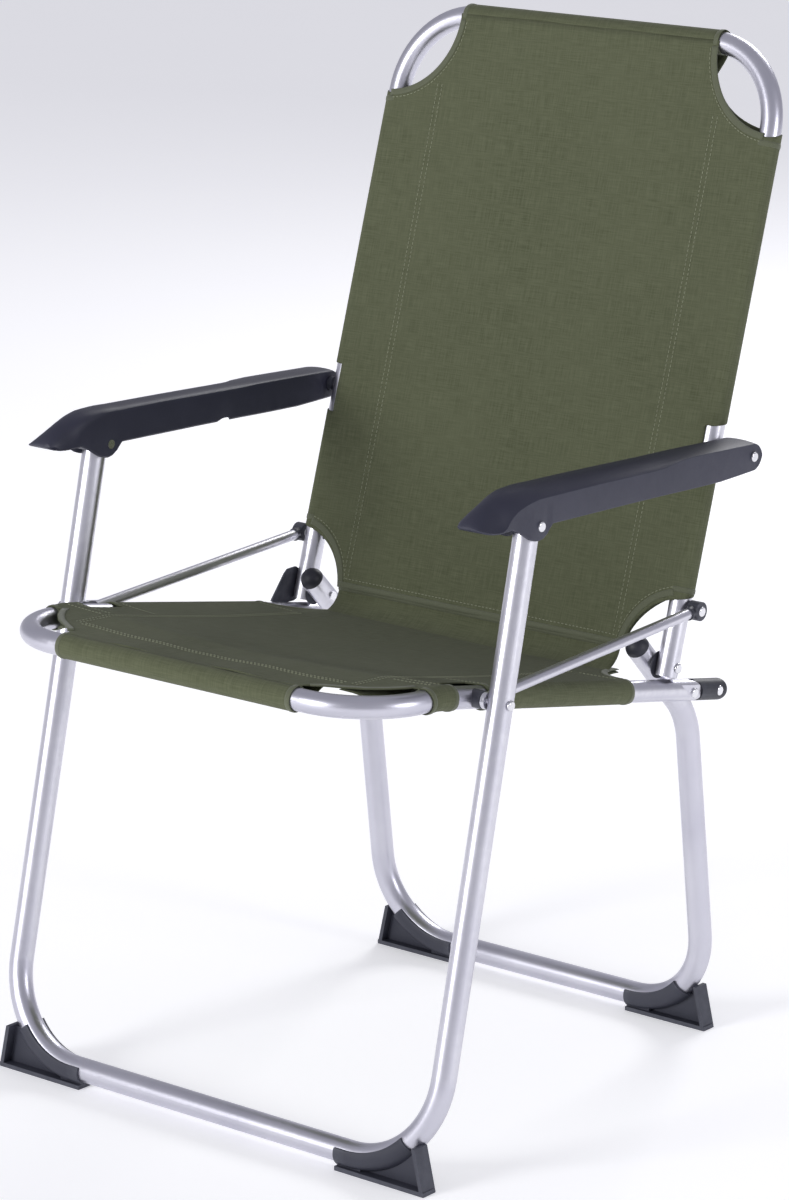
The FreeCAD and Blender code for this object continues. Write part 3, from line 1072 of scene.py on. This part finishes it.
@dataclass
class SeatSling(Sling):
    """The seat: a panel over the rails, a front sleeve, cut corners and pivot slots."""

    rear: float = 0.116
    bend: float = -0.205
    front: float = -0.2912
    front_height: float = 0.425
    front_half: float = 0.1345
    front_flap: float = 0.045
    rear_corner: tuple[float, float, float] = (0.222, 0.118, 0.057)

    def height(self, y: float) -> float:
        """The rail's axis height, eased at its shallow bend.

        Args:
            y: along the chair.

        Returns:
            The height of the axis.
        """
        sloped = RAIL_HEIGHT + RAIL_SLOPE * y
        knee = RAIL_HEIGHT + RAIL_SLOPE * self.bend
        level_slope = (self.front_height - knee) / (self.front - self.bend)
        level = knee + level_slope * (y - self.bend)
        t = min(max((self.bend + 0.012 - y) / 0.024, 0.0), 1.0)
        return sloped * (1 - t) + level * t

    def axis(self, v: float) -> tuple[Vector, Vector]:
        """The rail's axis at y = v, and the way the cloth faces."""
        slope = (self.height(v + 0.006) - self.height(v - 0.006)) / 0.012
        return Vector((0, v, self.height(v))), Vector((0, -slope, 1)).normalized()

    def rise(self, x: float, t: float) -> tuple[Vector, Vector]:
        """The upper face where the cloth curves up to the back.

        Args:
            x: across the seat.
            t: 0 where it leaves the seat, 1 on top.

        Returns:
            A point and the face's normal.
        """
        start = self.rear - 0.020
        base, _ = self.surface(x, start)
        turn = t * math.pi / 2
        reach, climb = 0.1192 - start, 0.3925 - base.z
        sunk = 0.0010 * (1 - t) ** 4
        point = Vector((x, start + reach * math.sin(turn),
                        base.z - sunk + climb * (1 - math.cos(turn))))
        tangent = Vector((0, reach * math.cos(turn), climb * math.sin(turn))).normalized()
        return point, Vector((0, -tangent.z, tangent.y))

    def rear_rise(self) -> list[Object]:
        """The strip that curves up to the back, and the rolled seam on its end.

        Returns:
            The strip and the seam.
        """
        xs = spaced(-0.1655, 0.1655, 48)
        rows, flat, travelled = [], [], 0.0
        for i, t in enumerate(spaced(0.0, 1.0, 14)):
            row = [self.rise(x, t) for x in xs]
            rows.append([point - normal * (self.cloth / 2) for point, normal in row])
            travelled += (rows[i][24] - rows[i - 1][24]).length if i else 0.0
            flat.append([(x, travelled) for x in xs])
        strip = cloth_grid("seat_rear_strip", rows[::-1], flat[::-1], self.cloth,
                           self.palette.canvas)
        bm = bmesh.new()
        ribbon(bm, self.rise, [(x, 0.90) for x in xs], 0.0050, 0.0012)
        seam = link(closed_mesh(bm, "seat_rear_seam"), "seat_rear_seam", self.palette.binding)
        return [strip, seam]

    def sag(self, x: float, v: float) -> float:
        """The seat's hollow, with faint pulls at the corners.

        Args:
            x: across the seat.
            v: along the chair.

        Returns:
            How far the cloth hangs below its flat line.
        """
        across = max(0.0, 1 - (x / self.half) ** 2)
        t = min(max((self.rear - v) / (self.rear - self.front), 0.0), 1.0)
        hollow = 0.0085 * across ** 0.8 * math.sin(math.pi * t) ** 0.8
        pull = 0.0008 * across * math.sin(18 * x + 6 * t) * math.sin(5 * t + 1)
        corner = 0.0010 * across * math.exp(-(1 - t) * 6) * math.sin(70 * abs(x) + 0.5)
        return hollow + pull + corner

    def cutters(self) -> list[Object]:
        """Corner cut-outs, pivot slots and the rear corners.

        Returns:
            The cutters.
        """
        made = []
        for s in SIDES:
            corner = [(0.1345, -0.35), (0.1345, -0.2835), (0.1440, -0.2745), (0.1600, -0.2655),
                      (0.1770, -0.2535), (0.1905, -0.2400), (0.2000, -0.2275),
                      (0.2030, -0.2220), (0.25, -0.2220), (0.25, -0.35)]
            slot = [(0.197, -0.188), (0.25, -0.188), (0.25, -0.146), (0.197, -0.146)]
            for shape in (corner, slot):
                made.append(prism_cutter([(s * x, y) for x, y in shape], 0.3, 0.5, "Z"))
            x, y, r = self.rear_corner
            made.append(prism_cutter(circle(s * x, y, r), 0.3, 0.5, "Z"))
        return made

    def panel(self) -> Object:
        """The cloth itself, side sleeves included.

        Returns:
            The cut panel.
        """
        rows, flat = self.sheet_rows(spaced(self.rear, self.front, 70), 64)
        obj = cloth_grid("seat_cloth", rows[::-1], flat[::-1], self.cloth, self.palette.canvas)
        cut_away(obj, self.cutters())
        return obj

    def front_sleeve(self) -> Object:
        """The sleeve over the front bar, with its hidden flap behind.

        Returns:
            The sleeve.
        """
        at, up = self.axis(self.front)
        out = Vector((0, -up.z, up.y))
        half = self.front_half - 0.001
        xs = spaced(-half, half, 44)
        rows = []
        for a in spaced(0.0, math.pi, 16):
            way = up * math.cos(a) + out * math.sin(a)
            rows.append([at + Vector((x, 0, 0)) + way * self.ring_radius() for x in xs])
        for t in spaced(0.0, 1.0, 7)[1:]:
            y = self.front + self.front_flap * t
            here, normal = self.axis(y)
            lift = self.ring_radius() * (2 * ease(t) - 1) - ease(t) * self.fold
            rows.append([here + Vector((x, 0, 0)) + normal * (lift - ease(t) * self.sag(x, y))
                         for x in xs])
        return self.sleeve("seat_front_sleeve", rows, xs)

    def edges(self) -> Object:
        """Turned hems at the corners and along the rear.

        Returns:
            The hems, as one piece.
        """
        bm = bmesh.new()
        for s in SIDES:
            cut = [(0.1375, -0.2790), (0.1450, -0.2715), (0.1590, -0.2625), (0.1750, -0.2510),
                   (0.1880, -0.2380), (0.1965, -0.2265), (0.2010, -0.2180)]
            ribbon(bm, self.surface, [(s * x, y) for x, y in cut], *self.hem)
            rear = self.arc(s, self.rear_corner, self.hem_out, 184, 258, 30)
            ribbon(bm, self.surface, rear, *self.hem)
        return link(closed_mesh(bm, "seat_hems"), "seat_hems", self.palette.binding)

    def sewing(self) -> Object:
        """Rows along both rails, beside the pivot slots and behind the front bar.

        Returns:
            The stitches, as one piece.
        """
        bm = bmesh.new()
        for s in SIDES:
            for inset in (self.flap - self.row_offset, self.flap + self.row_offset):
                line = [(s * (self.half - inset), y) for y in spaced(0.050, -0.246, 60)]
                stitches(bm, self.surface, line)
            for y in (-0.2075, -0.1965, -0.1375, 0.052):
                line = [(s * x, y) for x in spaced(0.1700, 0.2085, 10)]
                stitches(bm, self.surface, line)
        for y in (self.front + 0.0405, self.front + 0.0455):
            stitches(bm, self.surface, [(x, y) for x in spaced(-0.150, 0.150, 50)])
        return link(closed_mesh(bm, "seat_stitching"), "seat_stitching", self.palette.thread)

    def collars(self) -> list[Object]:
        """Rolled hems where the sleeves end on the tubes.

        Returns:
            The hems.
        """
        made = []
        for s in SIDES:
            for name, y in (("front", -0.2195), ("pivot_front", -0.1905),
                            ("pivot_rear", -0.1435), ("rear", 0.0585)):
                at, normal = self.axis(y)
                made.append(self.collar(f"seat_collar_{name}_{hand(s)}",
                                        at + Vector((s * self.half, 0, 0)),
                                        Vector((0, normal.z, -normal.y))))
            at = self.axis(self.front)[0] + Vector((s * (self.front_half - 0.0025), 0, 0))
            made.append(self.collar(f"seat_collar_bar_{hand(s)}", at, Vector((1, 0, 0))))
        return made

    def build(self) -> None:
        """Make every piece of the seat's cloth."""
        cloth = settle(self.panel(), Body.SEAT, Slot.FABRIC, "seat_sling")
        pieces = [self.front_sleeve(), self.edges(), self.sewing(), *self.collars()]
        for piece in pieces:
            settle(piece, Body.SEAT, Slot.FABRIC)
        strip, seam = self.rear_rise()
        foot = self.surface(0, self.rear - 0.020)[0]
        for piece in (strip, seam):
            settle(piece, Body.SEAT, Slot.FABRIC)
            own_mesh(piece)


# -------------------------------------------------------------------- armrests

@dataclass(frozen=True)
class Station:
    """One cross-section of an armrest; heights and half-width limits in millimetres."""

    y: float
    under: float
    crown: float
    outer_edge: float
    inner_edge: float
    inner: float = 229.0
    outer: float = 263.0


@dataclass
class Armrest:
    """A moulded armrest: crowned top, drooping nose, crease along its outer flank."""

    palette: Palette
    side: int
    wall: float = 2.8
    pivot_y: float = 183.17
    pivot_z: float = 566.57
    end_radius: float = 13.5

    def stations(self) -> list[Station]:
        """The cross-sections, nose to tail.

        Returns:
            The sections; the last ones follow the round rear end.
        """
        rows = [Station(*numbers) for numbers in (
            (-202.5, 571.2, 573.4, 572.2, 572.2, 237, 255),
            (-201, 570.0, 576.0, 571.2, 571.2, 233, 259),
            (-197, 568.2, 579.4, 569.8, 569.8, 230.4, 261.6),
            (-190, 566.6, 583.4, 568.4, 568.4, 229.2, 262.8),
            (-183, 565.8, 587.0, 567.4, 567.4), (-177, 565.5, 589.8, 567.2, 567.4),
            (-172, 565.5, 591.6, 569.4, 570.4), (-168, 565.4, 592.8, 574.0, 575.0),
            (-163, 565.4, 594.0, 577.8, 579.6), (-157, 562.9, 595.2, 580.8, 583.0),
            (-152, 560.0, 596.0, 582.4, 585.2), (-146, 556.2, 596.2, 583.8, 587.2),
            (-140, 552.6, 596.2, 584.8, 588.6), (-134, 550.4, 596.2, 585.6, 589.6),
            (-128, 549.5, 596.1, 586.1, 590.1), (-122, 550.6, 595.8, 586.1, 590.0),
            (-117, 553.5, 595.5, 586.0, 589.9), (-113, 557.6, 595.2, 585.8, 589.7),
            (-109, 561.0, 595.0, 585.7, 589.6), (-80, 560.1, 593.7, 584.9, 589.0),
            (-44, 558.9, 592.1, 583.8, 587.6), (0, 557.5, 590.0, 582.0, 585.4),
            (36, 556.1, 588.2, 580.6, 583.6), (50, 555.6, 587.5, 580.7, 583.0),
            (62, 555.0, 586.8, 581.7, 582.8), (76, 554.4, 586.0, 582.9, 582.8),
            (97, 553.5, 584.9, 582.6, 582.2), (135, 552.2, 582.8, 580.6, 580.4),
            (160, 552.6, 581.4, 579.2, 579.2))]
        r = self.end_radius
        for angle in (80, 68, 54, 42, 30, 20, 11, 4):
            a = math.radians(angle)
            rise = r * math.sin(a)
            y = self.pivot_y + r * math.cos(a)
            soft = min(2.0, rise * 0.5)
            rows.append(Station(y, self.pivot_z - rise, self.pivot_z + rise,
                                self.pivot_z + rise - soft, self.pivot_z + rise - soft,
                                229 + max(0.0, 2.4 - rise), 263 - max(0.0, 2.4 - rise)))
        return rows

    def section(self, at: Station) -> Path:
        """One closed cross-section, from the inner lower corner outwards and up.

        Args:
            at: its limits.

        Returns:
            The points, in metres.
        """
        soft = min(1.6, (at.crown - at.under) * 0.2)
        height = at.outer_edge - at.under
        low = min(soft, height * 0.45)
        outline = [(at.inner + soft, at.under), (at.outer - low, at.under),
                   (at.outer - low * 0.3, at.under + low * 0.3), (at.outer, at.under + low),
                   (at.outer, at.outer_edge - min(0.5, height * 0.2))]
        middle = at.inner + (at.outer - at.inner) * 0.42
        for t in spaced(0.0, 1.0, 14):
            if t < 0.5:
                u = t * 2
                x = at.outer - 0.4 + (middle - at.outer + 0.4) * u
                z = at.outer_edge + (at.crown - at.outer_edge) * math.sin(u * math.pi / 2) ** 0.9
            else:
                u = (t - 0.5) * 2
                x = middle + (at.inner - middle) * math.sin(u * math.pi / 2)
                z = at.inner_edge + (at.crown - at.inner_edge) * math.cos(u * math.pi / 2) ** 0.9
            outline.append((x, z))
        outline += [(at.inner, at.inner_edge - min(0.8, height * 0.2)),
                    (at.inner, at.under + soft)]
        return [Vector((self.side * x, at.y, z)) / 1000 for x, z in outline]

    def hollow(self) -> list[Object]:
        """The channel under the armrest, and the small scallop in its inner wall.

        Returns:
            The cutters.
        """
        outline = [(-153, 500), (-153, 579), (-140, 582), (-110, 582), (0, 577), (90, 571),
                   (166, 568), (168, 500)]
        scallop = [(30 + 9 * math.cos(math.radians(a)), 556.3 + 3.2 * math.sin(math.radians(a)))
                   for a in range(0, 360, 12)]
        made = []
        for shape, x0, x1 in ((outline, 229 + self.wall, 263 - self.wall),
                              (scallop, 228.0, 232.0)):
            low, high = sorted((self.side * x0 / 1000, self.side * x1 / 1000))
            made.append(prism_cutter([(y / 1000, z / 1000) for y, z in shape], low, high, "X"))
        return made

    def build(self) -> None:
        """Make the armrest and let it stand for its plain solid."""
        stands_for = f"armrest_{hand(self.side)}"
        bm = bmesh.new()
        rings = [[bm.verts.new(p) for p in self.section(at)] for at in self.stations()]
        skin(bm, rings)
        name = f"armrest_shell_{hand(self.side)}"
        obj = link(closed_mesh(bm, name), name, self.palette.by_slot[Slot.ARMREST])
        cut_away(obj, self.hollow())
        obj.data.shade_smooth()
        obj.data.set_sharp_from_angle(angle=math.radians(24))
        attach(obj, stands_for)
        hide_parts(stands_for)
        LOG.info("made %s, %d faces", obj.name, len(obj.data.polygons))


# ---------------------------------------------------------------------- studio

@dataclass
class Studio:
    """Camera, pale floor and soft lights."""

    eye: Vector
    target: Vector
    roll: float
    lens: float

    def camera(self) -> None:
        """Place the camera."""
        data = bpy.data.cameras.new("camera")
        data.sensor_fit = "VERTICAL"
        data.sensor_height = 36.0
        data.lens = self.lens
        data.clip_end = 50.0
        obj = bpy.data.objects.new("camera", data)
        bpy.context.scene.collection.objects.link(obj)
        look = (self.target - self.eye).to_track_quat("-Z", "Y").to_matrix().to_4x4()
        obj.matrix_world = Matrix.Translation(self.eye) @ look @ Matrix.Rotation(
            math.radians(self.roll), 4, "Z")
        bpy.context.scene.camera = obj

    def floor(self) -> None:
        """A wide pale floor, faintly mottled like paper."""
        bm = bmesh.new()
        bmesh.ops.create_grid(bm, x_segments=2, y_segments=2, size=14.0)
        mesh = bpy.data.meshes.new("studio_floor")
        bm.to_mesh(mesh)
        bm.free()
        s = Shading("studio_paper", 0.9, 0.0)
        coordinates = s.nodes.new("ShaderNodeTexCoord")
        noise = s.nodes.new("ShaderNodeTexNoise")
        noise.inputs["Scale"].default_value = 3.0
        s.links.new(coordinates.outputs["Object"], noise.inputs["Vector"])
        s.feed(s.mix(noise.outputs["Fac"], (0.86, 0.86, 0.87), (0.88, 0.88, 0.88)),
               "Base Color")
        s.shader.inputs["Emission Color"].default_value = (0.97, 0.97, 1.0, 1.0)
        s.shader.inputs["Emission Strength"].default_value = 0.34
        obj = link(mesh, "studio_floor", s.material)

    def light(self, name: str, at: Vector, size: float, power: float, tint: Colour) -> None:
        """An area light that faces the chair.

        Args:
            name: the light's name.
            at: where it stands.
            size: its diameter.
            power: its power in watts.
            tint: its colour.
        """
        data = bpy.data.lights.new(name, "AREA")
        data.shape = "DISK"
        data.size = size
        data.energy = power
        data.color = tint
        obj = bpy.data.objects.new(name, data)
        bpy.context.scene.collection.objects.link(obj)
        obj.location = at
        obj.rotation_euler = (Vector((0, 0, 0.45)) - at).to_track_quat("-Z", "Y").to_euler()

    def build(self) -> None:
        """Make the whole studio."""
        self.camera()
        self.floor()
        world = bpy.data.worlds.new("studio")
        bpy.context.scene.world = world
        world.use_nodes = True
        background = world.node_tree.nodes["Background"]
        background.inputs["Color"].default_value = (0.90, 0.90, 1.0, 1.0)
        background.inputs["Strength"].default_value = 0.46
        self.light("key", Vector((-1.3, -4.2, 1.6)), 1.6, 95.0, (1.0, 1.0, 1.0))
        self.light("fill", Vector((4.2, 0.4, 1.5)), 1.2, 40.0, (0.97, 0.97, 1.0))
        self.light("rim", Vector((-0.8, 3.6, 2.6)), 1.6, 60.0, (1.0, 1.0, 1.0))
        view = bpy.context.scene.view_settings
        view.view_transform = "Standard"
        view.look = "None"
        view.exposure = 0.0


def main() -> None:
    """Build the chair's looks in order."""
    logging.basicConfig(level=logging.INFO, format="%(message)s")
    palette = Palette(Groups(weave_group(), grain_group(), wear_group()))
    Studio(Vector((2.501, -3.040, 1.4735)), Vector((0, 0, 0.4284)), -0.08, 135.41).build()
    palette.dress_frame()
    BackSling(palette).build()
    SeatSling(palette).build()
    for side in SIDES:
        Armrest(palette, side).build()


if __name__ == "__main__":
    main()
